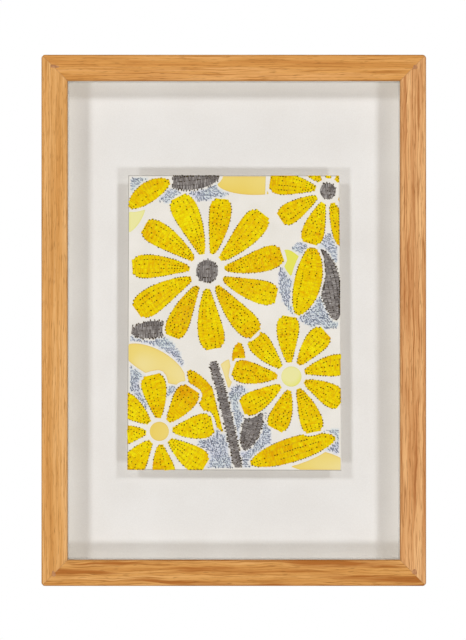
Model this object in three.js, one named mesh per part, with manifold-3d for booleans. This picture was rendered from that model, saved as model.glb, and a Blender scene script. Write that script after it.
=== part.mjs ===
// An embroidered sheet of paper, floated on a white board in an oak box frame.
// Millimetres. X runs right and Z up as the picture hangs, and the front faces -Y.
// The origin is the centre of the back face, the one that lies against a wall.

import * as THREE from 'three';
import { mergeVertices } from 'three/addons/utils/BufferGeometryUtils.js';
import Module from 'manifold-3d';

const wasm = await Module();
wasm.setup();

// The oak moulding: an L section, the lip in front of a rebate that takes everything behind it.
const FRAME = { width: 273, height: 377, depth: 26, face: 18.6, corner: 2.5 };
const LIP_THICKNESS = 4;
const REBATE_WIDTH = 5;
const EASED_ARRIS = 0.8;
const ARRIS_STEPS = 2;
const CORNER_STEPS = 5;

// Separate pieces stand this far apart, and a cutting shape reaches this far past what it cuts.
const CLEARANCE = 0.3;
const OVERCUT = 5;

// Depths into the frame, from its front face to the board, and from the board out to the sheet's face.
const RECESS = 18.5;
const FLOAT = 9.2;
const BOARD_THICKNESS = 2;

// The sheet, cut by hand a little out of square. Its corners as x, z about the frame's centre.
const SHEET_CORNERS = [[-75.8, -106.4], [76.6, -107], [75, 103], [-75, 103.2]];
const SHEET_THICKNESS = 1;
const STITCH_HEIGHT = 0.6;

// The block that holds the sheet off the board, hidden behind it.
const RISER = { width: 120, height: 180 };

// A stitched field is a blade: a petal or leaf along a bent middle line.
const BLADE_STEPS = 12;
const FIELD_MARGIN = 2.6;
const PETAL = { taper: 0.3, fullness: 0.3, widest: 0.7, sideGap: 1.1 };
const PETAL_UNEVEN = { length: 0.06, lengthStep: 2.4, width: 0.05, widthStep: 3.7 };
const HEART = { share: 0.62, fullness: 0.5 };
const FULL_TURN = 360;
const FLOWERS = [
  { x: -19, z: 35, petals: 11, inner: 12.5, outer: 55, turn: 8, swirl: 0.25, stitchedHeart: true },
  { x: 41, z: -40, petals: 9, inner: 10, outer: 41, turn: 18, swirl: -0.25, stitchedHeart: false },
  { x: -53, z: -79, petals: 8, inner: 9.5, outer: 39, turn: 4, swirl: 0.2, stitchedHeart: false },
  { x: 67, z: 92, petals: 9, inner: 9, outer: 40, turn: 8, swirl: 0.15, stitchedHeart: true },
];
const LEAVES = [
  { x: 3, z: -105, turn: 100, length: 78, half: 3, bend: 0.12, fullness: 0.12 },
  { x: -5, z: -80, turn: 116, length: 52, half: 7, bend: 0.2, fullness: 0.6 },
  { x: 12, z: -102, turn: 20, length: 63, half: 8.5, bend: -0.1, fullness: 0.6 },
  { x: 7, z: -92, turn: 66, length: 36, half: 6.5, bend: 0.3, fullness: 0.6 },
  { x: 45, z: 4, turn: 66, length: 50, half: 9.5, bend: 0.4, fullness: 0.6 },
  { x: 73, z: 0, turn: 98, length: 52, half: 7.5, bend: 0.15, fullness: 0.6 },
  { x: -74, z: 80, turn: 48, length: 34, half: 7, bend: -0.5, fullness: 0.6 },
  { x: -47, z: 98, turn: 4, length: 37, half: 6.5, bend: 0.1, fullness: 0.6 },
  { x: -73, z: -9, turn: 14, length: 29, half: 6, bend: -0.3, fullness: 0.6 },
  { x: 4, z: -16, turn: -100, length: 22, half: 4.5, bend: 0.5, fullness: 0.6 },
];

// Distances from the wall at which each layer starts and ends.
const boardFace = FRAME.depth - RECESS;
const boardBack = boardFace - BOARD_THICKNESS;
const sheetFace = boardFace + FLOAT;
const sheetBack = sheetFace - SHEET_THICKNESS;
const lipBack = FRAME.depth - LIP_THICKNESS;

// Half sizes of the opening and of the rebate behind it.
const sight = { x: FRAME.width / 2 - FRAME.face, z: FRAME.height / 2 - FRAME.face };
const rebate = { x: sight.x + REBATE_WIDTH, z: sight.z + REBATE_WIDTH };

const oak = new THREE.MeshStandardMaterial({ color: 0xd09150, roughness: 0.6, metalness: 0 });
const whiteBoard = new THREE.MeshStandardMaterial({ color: 0xe7e4de, roughness: 0.9, metalness: 0 });
const whitePaint = new THREE.MeshStandardMaterial({ color: 0xefede8, roughness: 0.8, metalness: 0 });
const foamBoard = new THREE.MeshStandardMaterial({ color: 0xf0efec, roughness: 0.9, metalness: 0 });
const fibreboard = new THREE.MeshStandardMaterial({ color: 0xa98560, roughness: 0.85, metalness: 0 });
const stitchedPaper = new THREE.MeshStandardMaterial({ color: 0xe6c413, roughness: 0.75, metalness: 0 });

function toSolid(geometry) {
  const bare = geometry.clone();
  bare.deleteAttribute('normal');
  bare.deleteAttribute('uv');
  const closed = mergeVertices(bare);
  const vertProperties = new Float32Array(closed.getAttribute('position').array);
  const triVerts = new Uint32Array(closed.getIndex().array);
  return new wasm.Manifold(new wasm.Mesh({ numProp: 3, vertProperties, triVerts }));
}

function toGeometry(solid) {
  const { vertProperties, triVerts } = solid.getMesh();
  const geometry = new THREE.BufferGeometry();
  geometry.setAttribute('position', new THREE.BufferAttribute(vertProperties, 3));
  geometry.setIndex(new THREE.BufferAttribute(triVerts, 1));
  geometry.computeVertexNormals();
  return geometry;
}

function shapeOf(points) {
  return new THREE.Shape(points.map(([x, z]) => new THREE.Vector2(x, z)));
}

function rectangle(halfX, halfZ) {
  return [[-halfX, -halfZ], [halfX, -halfZ], [halfX, halfZ], [-halfX, halfZ]];
}

// Turns an extruded outline to face the front, from one distance off the wall to a greater one.
function standUp(geometry, fromWall) {
  return geometry.rotateX(Math.PI / 2).translate(0, -fromWall, 0);
}

// A flat slab with that outline, between two distances off the wall.
function plate(points, back, front) {
  const options = { depth: front - back, bevelEnabled: false };
  return toSolid(standUp(new THREE.ExtrudeGeometry(shapeOf(points), options), back));
}

// The whole frame before it is parted at its mitres: rounded outer corners and eased arrises.
function frameOutline() {
  const x = FRAME.width / 2 - FRAME.corner;
  const z = FRAME.height / 2 - FRAME.corner;
  const quarter = Math.PI / 2;
  const outline = new THREE.Shape();
  outline.absarc(x, z, FRAME.corner, 0, quarter);
  outline.absarc(-x, z, FRAME.corner, quarter, 2 * quarter);
  outline.absarc(-x, -z, FRAME.corner, 2 * quarter, 3 * quarter);
  outline.absarc(x, -z, FRAME.corner, 3 * quarter, 4 * quarter);
  outline.closePath();
  outline.holes.push(shapeOf(rectangle(sight.x, sight.z).reverse()));
  return outline;
}

function frameSolid() {
  const moulding = new THREE.ExtrudeGeometry(frameOutline(), {
    depth: FRAME.depth - 2 * EASED_ARRIS,
    bevelThickness: EASED_ARRIS,
    bevelSize: EASED_ARRIS,
    bevelOffset: -EASED_ARRIS,
    bevelSegments: ARRIS_STEPS,
    curveSegments: CORNER_STEPS,
  });
  const whole = toSolid(standUp(moulding, EASED_ARRIS));
  const behindLip = plate(rectangle(rebate.x, rebate.z), -EASED_ARRIS, lipBack);
  return whole.subtract(behindLip);
}

// The region that one rail fills, bounded by the mitre lines through the frame's corners.
function mitreRegion(side) {
  const inward = FRAME.face + OVERCUT;
  const parted = CLEARANCE / Math.SQRT2;
  const flat = side === 'top' || side === 'bottom';
  const along = (flat ? FRAME.width : FRAME.height) / 2 - parted;
  const across = (flat ? FRAME.height : FRAME.width) / 2;
  const near = [along + OVERCUT, across + OVERCUT];
  const far = [along - inward, across - inward];
  const wedge = [[-near[0], near[1]], [-far[0], far[1]], far, near];
  const turns = { top: 0, left: 1, bottom: 2, right: 3 };
  const angle = (turns[side] * Math.PI) / 2;
  const turned = wedge.map(([x, z]) => [
    x * Math.cos(angle) - z * Math.sin(angle),
    x * Math.sin(angle) + z * Math.cos(angle),
  ]);
  return plate(turned, -OVERCUT, FRAME.depth + OVERCUT);
}

// The outline of a petal or leaf: two sides about a middle line that bends as it goes.
function bladeOutline({ x, z, turn, length, half, taper = 1, fullness, bend }, grow = 0) {
  const heading = THREE.MathUtils.degToRad(turn);
  const reach = length + 2 * grow;
  const startX = x - grow * Math.cos(heading);
  const startZ = z - grow * Math.sin(heading);
  const left = [];
  const right = [];
  for (let i = 0; i <= BLADE_STEPS; i += 1) {
    const s = 0.5 - 0.5 * Math.cos((Math.PI * i) / BLADE_STEPS);
    const chord = heading + (bend * s) / 2;
    const side = heading + bend * s;
    const midX = startX + reach * s * Math.cos(chord);
    const midZ = startZ + reach * s * Math.sin(chord);
    const width = (half + grow) * (taper + (1 - taper) * s) * (4 * s * (1 - s)) ** fullness;
    left.push([midX - width * Math.sin(side), midZ + width * Math.cos(side)]);
    right.push([midX + width * Math.sin(side), midZ - width * Math.cos(side)]);
  }
  return [...right.slice(0, -1), ...left.slice(1).reverse()];
}

// A ring of petals, each a little longer or wider than the next, about a round heart.
function flowerBlades({ x, z, petals, inner, outer, turn, swirl, stitchedHeart }) {
  const blades = [];
  for (let k = 0; k < petals; k += 1) {
    const toward = turn + (FULL_TURN * k) / petals;
    const heading = THREE.MathUtils.degToRad(toward);
    const longer = 1 + PETAL_UNEVEN.length * Math.sin(PETAL_UNEVEN.lengthStep * k + x);
    const wider = 1 + PETAL_UNEVEN.width * Math.sin(PETAL_UNEVEN.widthStep * k + z);
    const length = (outer - inner) * longer;
    const room = (inner + PETAL.widest * length) * Math.tan(Math.PI / petals);
    blades.push({
      x: x + inner * Math.cos(heading),
      z: z + inner * Math.sin(heading),
      turn: toward,
      length,
      half: (room - PETAL.sideGap) * wider,
      taper: PETAL.taper,
      fullness: PETAL.fullness,
      bend: swirl,
    });
  }
  if (stitchedHeart) {
    const radius = inner * HEART.share;
    const round = { length: 2 * radius, half: radius, fullness: HEART.fullness };
    blades.push({ ...round, x: x - radius, z, turn: 0, bend: 0 });
  }
  return blades;
}

// The sheet with its stitched fields, which stand above the paper by the height of the thread.
// A field nearer the front of the list keeps a margin of bare paper from those after it.
function sheetSolid() {
  const groups = [...FLOWERS.map(flowerBlades), ...LEAVES.map((leaf) => [leaf])];
  const inPaper = sheetFace - SHEET_THICKNESS / 2;
  const top = sheetFace + STITCH_HEIGHT;
  const above = top + OVERCUT;
  let stitched = null;
  let taken = null;
  for (const blades of groups) {
    const raised = blades.map((blade) => plate(bladeOutline(blade), inPaper, top));
    const margins = blades.map((blade) => plate(bladeOutline(blade, FIELD_MARGIN), sheetBack, above));
    const field = wasm.Manifold.union(raised);
    const margin = wasm.Manifold.union(margins);
    stitched = stitched ? stitched.add(field.subtract(taken)) : field;
    taken = taken ? taken.add(margin) : margin;
  }
  const paper = plate(SHEET_CORNERS, sheetBack, sheetFace);
  const cut = plate(SHEET_CORNERS, sheetBack, above);
  return paper.add(stitched.intersect(cut));
}

function piece(name, geometry, material, x = 0, y = 0, z = 0) {
  const mesh = new THREE.Mesh(geometry, material);
  mesh.name = name;
  mesh.position.set(x, y, z);
  return mesh;
}

function rails() {
  const whole = frameSolid();
  const group = new THREE.Group();
  for (const side of ['top', 'bottom', 'left', 'right']) {
    const rail = whole.intersect(mitreRegion(side));
    group.add(piece(`rail_${side}`, toGeometry(rail), oak));
  }
  return group;
}

// White strips that stand on the board under the lip and hold it back from the opening.
function spacers() {
  const depth = lipBack - boardFace - 2 * CLEARANCE;
  const middle = -(lipBack + boardFace) / 2;
  const thickness = REBATE_WIDTH - CLEARANCE;
  const width = 2 * (rebate.x - CLEARANCE);
  const height = 2 * (sight.z - CLEARANCE);
  const group = new THREE.Group();
  for (const [side, sign] of [['top', 1], ['bottom', -1]]) {
    const strip = new THREE.BoxGeometry(width, depth, thickness);
    group.add(piece(`spacer_${side}`, strip, whitePaint, 0, middle, sign * (sight.z + thickness / 2)));
  }
  for (const [side, sign] of [['left', -1], ['right', 1]]) {
    const strip = new THREE.BoxGeometry(thickness, depth, height);
    group.add(piece(`spacer_${side}`, strip, whitePaint, sign * (sight.x + thickness / 2), middle, 0));
  }
  return group;
}

// The boards fill the rebate from side to side; the back one ends flush with the rails.
function boards() {
  const width = 2 * (rebate.x - CLEARANCE);
  const height = 2 * (rebate.z - CLEARANCE);
  const backThickness = boardBack - CLEARANCE;
  const riserThickness = sheetBack - boardFace - 2 * CLEARANCE;
  const back = new THREE.BoxGeometry(width, backThickness, height);
  const mount = new THREE.BoxGeometry(width, BOARD_THICKNESS, height);
  const riser = new THREE.BoxGeometry(RISER.width, riserThickness, RISER.height);
  const riserMiddle = -(boardFace + sheetBack) / 2;
  const group = new THREE.Group();
  group.add(piece('back_board', back, fibreboard, 0, -backThickness / 2, 0));
  group.add(piece('mount_board', mount, whiteBoard, 0, -(boardBack + boardFace) / 2, 0));
  group.add(piece('riser_block', riser, foamBoard, 0, riserMiddle, 0));
  return group;
}

const group = new THREE.Group();
group.add(rails());
group.add(spacers());
group.add(boards());
group.add(piece('embroidered_sheet', toGeometry(sheetSolid()), stitchedPaper));

export default group;
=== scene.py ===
# %% [markdown]
# # An embroidered sheet of paper in an oak box frame
# The real object is a picture of about 27 by 38 cm. A sheet of heavy paper, worked with thread, floats
# on a hidden block in front of a white board, and four oak rails hold it all.
# The solids of every piece come in as a fixed frame, in metres, with X to the right, Z up and the front
# towards -Y. This lesson adds what they lack: the light, the finishes, and each stitch of the sheet.

# %% Load the solids
import math

import bpy
import numpy as np
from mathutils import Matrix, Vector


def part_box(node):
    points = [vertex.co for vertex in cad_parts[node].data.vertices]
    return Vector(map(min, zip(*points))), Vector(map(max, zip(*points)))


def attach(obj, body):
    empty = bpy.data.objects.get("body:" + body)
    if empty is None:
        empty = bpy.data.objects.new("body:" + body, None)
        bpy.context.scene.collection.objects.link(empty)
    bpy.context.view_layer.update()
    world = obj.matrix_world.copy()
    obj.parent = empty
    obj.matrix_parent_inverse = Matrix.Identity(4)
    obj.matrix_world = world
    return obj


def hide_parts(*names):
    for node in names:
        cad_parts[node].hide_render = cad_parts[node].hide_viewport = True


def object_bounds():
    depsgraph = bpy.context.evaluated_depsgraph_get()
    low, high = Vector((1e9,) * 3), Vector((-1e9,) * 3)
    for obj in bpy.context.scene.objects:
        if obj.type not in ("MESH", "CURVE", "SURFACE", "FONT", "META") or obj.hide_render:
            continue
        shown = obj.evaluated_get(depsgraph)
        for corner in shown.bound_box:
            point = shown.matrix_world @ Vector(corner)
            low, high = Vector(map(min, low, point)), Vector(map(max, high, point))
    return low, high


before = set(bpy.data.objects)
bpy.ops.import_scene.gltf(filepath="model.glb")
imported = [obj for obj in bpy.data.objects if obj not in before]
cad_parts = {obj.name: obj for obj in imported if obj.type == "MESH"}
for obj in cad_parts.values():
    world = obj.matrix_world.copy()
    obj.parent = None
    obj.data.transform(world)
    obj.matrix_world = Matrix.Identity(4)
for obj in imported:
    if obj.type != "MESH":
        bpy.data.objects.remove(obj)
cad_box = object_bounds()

MM = 0.001
scene = bpy.context.scene
print("pieces:", ", ".join(sorted(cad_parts)))

# %% [markdown]
# ## Small helpers
# Colours are written as the hex values that a colour picker gives. A renderer adds light, so it needs
# linear numbers, and one function turns the one into the other. A material is a tree of nodes, and one
# function adds any node with its settings and its links. Each new material comes with the place on its
# piece, so that every pattern can be given its real size in millimetres.

# %% Turn colours to linear light and add nodes
def linear(code):
    """A hex code as linear light, by the curve of the sRGB standard."""
    channels = [int(code[i:i + 2], 16) / 255 for i in (1, 3, 5)]
    return tuple(c / 12.92 if c <= 0.04045 else ((c + 0.055) / 1.055) ** 2.4 for c in channels) + (1.0,)


def put(tree, node, inputs):
    """Sets inputs of a node to values, or links them to sockets. A node stands for its first output."""
    for socket, value in inputs.items():
        if isinstance(value, bpy.types.Node):
            value = value.outputs[0]
        if isinstance(value, bpy.types.NodeSocket):
            tree.links.new(value, node.inputs[socket])
        else:
            node.inputs[socket].default_value = value


def add(tree, kind, inputs=None, stops=(), **settings):
    """Adds a node with its settings and links. A colour ramp has stops, as (position, hex colour)."""
    node = tree.nodes.new(kind)
    for name, value in settings.items():
        setattr(node, name, value)
    put(tree, node, inputs or {})
    elements = node.color_ramp.elements if stops else []
    while len(elements) < len(stops):
        elements.new(1.0)
    for element, (position, code) in zip(elements, stops):
        element.position = position
        element.color = linear(code)
    return node


def new_material(name):
    """An empty material, its tree, its surface shader, and the place on the piece in metres."""
    material = bpy.data.materials.new(name)
    material.use_nodes = True
    tree = material.node_tree
    tree.nodes.clear()
    shader = add(tree, "ShaderNodeBsdfPrincipled")
    add(tree, "ShaderNodeOutputMaterial", {"Surface": shader})
    return material, tree, shader, add(tree, "ShaderNodeTexCoord").outputs["Object"]


print("middle grey in linear light:", round(linear("#808080")[0], 3))

# %% [markdown]
# ## The camera
# The picture is seen face on, from far enough away that its sides hardly show. Three metres does that:
# the board, which lies 18.5 mm back, looks only half a percent smaller. A long lens then fills the image
# with the frame and a margin of white.

# %% Place the camera
IMAGE_HEIGHT_PX = 640
MM_PER_PX = 0.7095
CAMERA_DISTANCE = 3.0
FRAME_RIGHT_OF_MIDDLE_PX = 0.8
FRAME_BELOW_MIDDLE_PX = 0.35
SENSOR = 36.0

front_y = cad_box[0][1]
field_height = IMAGE_HEIGHT_PX * MM_PER_PX * MM
camera_data = bpy.data.cameras.new("camera")
camera_data.sensor_width = SENSOR
camera_data.lens = SENSOR * CAMERA_DISTANCE / field_height
camera = bpy.data.objects.new("camera", camera_data)
camera.location = (-FRAME_RIGHT_OF_MIDDLE_PX * MM_PER_PX * MM, front_y - CAMERA_DISTANCE,
                   FRAME_BELOW_MIDDLE_PX * MM_PER_PX * MM)
camera.rotation_euler = (math.pi / 2, 0, 0)
scene.collection.objects.link(camera)
scene.camera = camera
print("lens:", round(camera_data.lens, 1), "mm")

# %% [markdown]
# ## The light
# The shadows inside the frame tell how it was lit. Each wall of the box throws a soft band on the board,
# the four corners of the box are darker than the bands, and the sheet has a band on all four sides with
# paler corners. That is four lamps, one on each diagonal, and so far off that the bands are equally wide
# everywhere. A sun lamp gives parallel light of one strength at any distance, so four of them stand for
# the four, each almost ten degrees wide. A fifth is a screen of cloth behind the camera, whose light falls
# straight in and so throws no shadow that shows. A pale room gives the rest. The room is a white world,
# which a camera ray sees at full white. Two more lamps hang behind. They light the back and the floor for
# a look from there, and no ray of theirs reaches the front.

# %% Hang the lamps and light the room
LAMP_SLOPE = (0.87, 0.655)
LAMP_SPREAD = 9.5
LAMP_STRENGTH = 0.765
LAMP_COLOUR = "#f4f8ff"
SCREEN_SPREAD = 5.0
SCREEN_STRENGTH = 0.83
SCREEN_COLOUR = "#fff3e7"
ROOM_COLOUR = "#fffaf4"
ROOM_STRENGTH = 0.12
BACK_SLOPE = (0.6, 0.7)
BACK_STRENGTH = 1.7


def hang_lamp(name, towards, spread, strength, colour):
    """Parallel light that comes from a direction, spread over an angle in degrees."""
    data = bpy.data.lights.new(name, "SUN")
    data.angle = math.radians(spread)
    data.energy = strength
    data.color = linear(colour)[:3]
    lamp = bpy.data.objects.new(name, data)
    lamp.location = towards
    lamp.rotation_euler = (-lamp.location).to_track_quat("-Z", "Y").to_euler()
    scene.collection.objects.link(lamp)


for side in (-1, 1):
    for level in (-1, 1):
        towards = (side * LAMP_SLOPE[0], -1.0, level * LAMP_SLOPE[1])
        hang_lamp("lamp", towards, LAMP_SPREAD, LAMP_STRENGTH, LAMP_COLOUR)
    towards = (side * BACK_SLOPE[0], 1.0, BACK_SLOPE[1])
    hang_lamp("back_lamp", towards, LAMP_SPREAD, BACK_STRENGTH, LAMP_COLOUR)
hang_lamp("screen", (0.0, -1.0, 0.0), SCREEN_SPREAD, SCREEN_STRENGTH, SCREEN_COLOUR)

world = bpy.data.worlds.new("room")
world.use_nodes = True
room = world.node_tree
room.nodes.clear()
soft = add(room, "ShaderNodeBackground", {"Color": linear(ROOM_COLOUR), "Strength": ROOM_STRENGTH})
white = add(room, "ShaderNodeBackground", {"Color": linear("#ffffff"), "Strength": 1.0})
seen = add(room, "ShaderNodeLightPath")
chosen = add(room, "ShaderNodeMixShader", {0: seen.outputs["Is Camera Ray"], 1: soft, 2: white})
add(room, "ShaderNodeOutputWorld", {"Surface": chosen})
scene.world = world
scene.view_settings.view_transform = "Standard"

# %% [markdown]
# ## Oak, planed and oiled
# The rails are flat-sawn oak, planed, glued at the mitres, eased with fine paper and oiled. Oak shows
# six things at once: bands of growth a few millimetres wide, broad dark flames where the cut meets a ring
# at a low angle, narrow dark streaks, short pores that lie along the streaks, a fine fibre, and a slow
# drift of its tone. All run along the rail and waver a little, so each rail has its own direction and its
# own piece of tree. The noise is stretched by giving it coordinates that run slowly along the rail and
# fast across it. Painted shade darkens the eased arrises, where the rounded edge turns from the light.

# %% Make the oak of each rail
# For each part of the grain: its width and length in millimetres, and its noise's detail and roughness.
# Real pores are about 0.3 mm wide. That is too fine to show, so they are drawn twice as wide.
GRAIN = {
    "bands": (2.4, 150.0, 3.0, 0.6),
    "flames": (4.4, 95.0, 2.0, 0.55),
    "streaks": (0.75, 42.0, 3.0, 0.55),
    "pores": (0.6, 8.0, 1.0, 0.5),
    "fibre": (0.28, 22.0, 3.0, 0.5),
    "drift": (6.0, 200.0, 1.0, 0.5),
}
WAVE = (8.0, 24.0, 1.0, 0.5)
# The ranges of noise over which the tones change, and over which the darker parts come up.
TONE_RANGE = (1.15, 1.85)
DARK_RANGES = {"flames": (0.49, 0.64), "streaks": (0.52, 0.62), "pores": (0.60, 0.70)}
TONE_STOPS = (0.0, 0.45, 1.0)
STREAK_STRENGTH = 0.75
PORE_STRENGTH = 0.5
PORE_COLOUR = "#8f5a22"
OAK_ROUGHNESS = (0.5, 0.66)
# The arrises: how far in from them painted shade darkens the wood, and how much at the outer and inner one.
ARRIS_SHADE_WIDTH = 1.3
OUTER_ARRIS_SHADE = 0.4
INNER_ARRIS_SHADE = 0.6
ARRIS_SHADE_COLOUR = "#99622c"
RAIL_FACE = 18.6

# For each rail: which way it runs, its place in the tree, how far its grain wavers in millimetres, its
# dark, middle and light tones, the colour of its streaks, and the colour and strength of its flames.
RAILS = {
    "rail_top": ("X", 11.0, 1.6, ("#cf8b43", "#dfa053", "#ecb06d"), "#b5732e", "#c38038", 0.3),
    "rail_bottom": ("X", 47.0, 3.4, ("#cd8c43", "#dea258", "#edb672"), "#a86722", "#b06a28", 1.0),
    "rail_left": ("Z", 83.0, 1.6, ("#d2924a", "#e3a861", "#f0bb7a"), "#bb803c", "#c88c47", 0.3),
    "rail_right": ("Z", 129.0, 2.2, ("#d09156", "#e4ab6f", "#f7c487"), "#a8652c", "#c4824a", 0.6),
}


def surface(tree, shader, colour, roughness, specular, height=None, strength=0.0, depth=0.0):
    """Gives a shader its colour and gloss, and a relief of depth millimetres where there is a height."""
    put(tree, shader, {"Base Color": colour, "Roughness": roughness, "Specular IOR Level": specular})
    if height is not None:
        relief = {"Height": height, "Strength": strength, "Distance": depth * MM}
        put(tree, shader, {"Normal": add(tree, "ShaderNodeBump", relief)})


def clad(node_name, material):
    """Gives a solid of the frame one material."""
    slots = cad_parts[node_name].data.materials
    slots.clear()
    slots.append(material)


def grain_noise(tree, place, across, along, detail, roughness):
    """Noise whose spots are about across wide and along long, in millimetres."""
    squeezed = add(tree, "ShaderNodeVectorMath", {0: place, 1: (1 / along, 1 / across, 1 / across)},
                   operation="MULTIPLY")
    return add(tree, "ShaderNodeTexNoise", {
        "Vector": squeezed, "Scale": 1.0, "Detail": detail, "Roughness": roughness,
    })


def rail_place(tree, here, direction):
    """The place along the rail, across its face and into it, as one vector in millimetres."""
    parts = add(tree, "ShaderNodeSeparateXYZ", {0: here})
    across = "Z" if direction == "X" else "X"
    turned = add(tree, "ShaderNodeCombineXYZ", {
        "X": parts.outputs[direction], "Y": parts.outputs[across], "Z": parts.outputs["Y"],
    })
    return add(tree, "ShaderNodeVectorMath", {0: turned, 1: (1 / MM, 1 / MM, 1 / MM)},
               operation="MULTIPLY")


def grain_place(tree, place, tree_place, wavering):
    """The place in the tree, shifted across the grain by a slow wave."""
    moved = add(tree, "ShaderNodeVectorMath", {0: place, 1: (0, tree_place, tree_place)},
                operation="ADD")
    wave = add(tree, "ShaderNodeMath", {0: grain_noise(tree, moved, *WAVE), 1: wavering},
               operation="MULTIPLY")
    sideways = add(tree, "ShaderNodeCombineXYZ", {"Y": wave})
    return add(tree, "ShaderNodeVectorMath", {0: moved, 1: sideways}, operation="ADD")


def arris_shade(tree, place, half_size):
    """How much painted shade lies along the two long arrises of a rail's face, from 0 inside the face."""
    parts = add(tree, "ShaderNodeSeparateXYZ", {0: place})
    out = add(tree, "ShaderNodeMath", {0: parts.outputs["Y"]}, operation="ABSOLUTE")
    off = add(tree, "ShaderNodeMath", {0: out, 1: half_size / MM - RAIL_FACE / 2}, operation="SUBTRACT")
    shaded_arrises = [
        add(tree, "ShaderNodeMapRange", {
            "Value": off, "From Min": edge * (RAIL_FACE / 2 - ARRIS_SHADE_WIDTH), "From Max": edge * RAIL_FACE / 2,
            "To Max": amount,
        })
        for edge, amount in ((1, OUTER_ARRIS_SHADE), (-1, INNER_ARRIS_SHADE))
    ]
    return add(tree, "ShaderNodeMath", {0: shaded_arrises[0], 1: shaded_arrises[1]}, operation="ADD")


def stain_and_shade(tree, colour, mask, strength, dark_tone):
    """A colour mixed with a darker tone where a mask says: the grain's stains, and painted shade at arrises.
    """
    amount = add(tree, "ShaderNodeMath", {0: mask, 1: strength}, operation="MULTIPLY")
    mix = add(tree, "ShaderNodeMix", {0: amount, 6: colour, 7: linear(dark_tone)}, data_type="RGBA")
    return mix.outputs[2]


def oak(name, half_size, direction, tree_place, wavering, tones, streak_colour, flame_colour, flaming):
    """The oak of one rail."""
    material, tree, shader, here = new_material(name)
    plain = rail_place(tree, here, direction)
    place = grain_place(tree, plain, tree_place, wavering)
    grain = {part: grain_noise(tree, place, *row) for part, row in GRAIN.items()}
    banded = add(tree, "ShaderNodeMath", {0: grain["bands"], 1: grain["fibre"]}, operation="ADD")
    drifting = add(tree, "ShaderNodeMath", {0: banded, 1: grain["drift"]}, operation="ADD")
    tone = add(tree, "ShaderNodeMapRange", {
        "Value": drifting, "From Min": TONE_RANGE[0], "From Max": TONE_RANGE[1],
    })
    wood = add(tree, "ShaderNodeValToRGB", {"Fac": tone}, list(zip(TONE_STOPS, tones)))
    dark = {
        part: add(tree, "ShaderNodeMapRange", {"Value": grain[part], "From Min": low, "From Max": high})
        for part, (low, high) in DARK_RANGES.items()
    }
    wood = stain_and_shade(tree, wood, dark["flames"], flaming, flame_colour)
    wood = stain_and_shade(tree, wood, dark["streaks"], STREAK_STRENGTH, streak_colour)
    wood = stain_and_shade(tree, wood, dark["pores"], PORE_STRENGTH, PORE_COLOUR)
    # Painted shade along the eased arrises, where the rounded edges turn from the light.
    wood = stain_and_shade(tree, wood, arris_shade(tree, plain, half_size), 1.0, ARRIS_SHADE_COLOUR)
    gloss = add(tree, "ShaderNodeMapRange", {
        "Value": grain["fibre"], "To Min": OAK_ROUGHNESS[0], "To Max": OAK_ROUGHNESS[1],
    })
    height = add(tree, "ShaderNodeMath", {0: grain["fibre"], 1: dark["pores"]}, operation="SUBTRACT")
    surface(tree, shader, wood, gloss, specular=0.15, height=height, strength=0.35, depth=0.12)
    return material


for node_name, (direction, *look) in RAILS.items():
    half_size = cad_box[1][2] if direction == "X" else cad_box[1][0]
    clad(node_name, oak(f"oiled_oak_{node_name}", half_size, direction, *look))
print("oak rails:", len(RAILS))

# %% [markdown]
# ## Pieces made from arrays
# All that is added to the solids is a mesh that rides on the frame. Meshes are made from arrays of points
# and faces, because thousands of stitches are too many to add one by one. The plainest is a prism between
# two like outlines. Its walls and caps all face outward, so that the piece is a closed solid.

# %% Make a piece from points and faces
def mesh_piece(name, points, faces, material, slot, smooth=True, **attributes):
    """A piece that rides on the frame, made from arrays of points and faces, with float attributes."""
    mesh = bpy.data.meshes.new(name)
    mesh.from_pydata(np.asarray(points, float).tolist(), [], faces)
    for key, values in attributes.items():
        layer = mesh.attributes.new(key, "FLOAT", "POINT")
        layer.data.foreach_set("value", np.asarray(values, np.float32))
    mesh.polygons.foreach_set("use_smooth", [smooth] * len(mesh.polygons))
    mesh.materials.append(material)
    mesh.update()
    piece = bpy.data.objects.new(name, mesh)
    scene.collection.objects.link(piece)
    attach(piece, "root")
    print(name, len(mesh.polygons), "faces")
    return piece


def prism(first, second):
    """A closed solid between two like outlines. The first turns left, seen from outside."""
    i = np.arange(len(first))
    j = np.roll(i, -1)
    caps = [i.tolist(), (i[::-1] + len(i)).tolist()]
    walls = np.stack([i, i + len(i), j + len(i), j], axis=-1).tolist()
    return np.concatenate([first, second]), caps + walls


print("faces of a prism on a square:", len(prism(np.zeros((4, 3)), np.ones((4, 3)))[1]))

# %% [markdown]
# ## The glue in the mitres
# The rails are cut at 45 degrees and glued. What shows of the glue is a hairline, a little below the
# surface and a little darker than the wood. It fills the narrow gap between two rails, so that no light
# comes through.

# %% Fill the four mitres
PIECE_GAP = 0.3 * MM
GLUE_SUNK = 0.05 * MM
GLUE_PLAY = 0.02 * MM
EASED = 1.0 * MM

half_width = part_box("rail_right")[1].x
half_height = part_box("rail_top")[1].z
sight = half_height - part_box("spacer_top")[0].z
rebate = half_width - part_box("back_board")[1].x - PIECE_GAP
lip_back_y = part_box("spacer_top")[0].y - PIECE_GAP


def mottled(name, dark, light, size, roughness, reach=0.2, detail=2.0, specular=0.5):
    """A material that wanders between two tones, in spots of about size millimetres."""
    material, tree, shader, here = new_material(name)
    flecks = add(tree, "ShaderNodeTexNoise", {"Vector": here, "Scale": 1 / (size * MM), "Detail": detail})
    colour = add(tree, "ShaderNodeValToRGB", {"Fac": flecks}, [(0.5 - reach, dark), (0.5 + reach, light)])
    surface(tree, shader, colour, roughness, specular)
    return material


glue = mottled("wood_glue_dried_dark", "#b8834a", "#ca945a", size=1.11, roughness=0.6)
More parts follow.
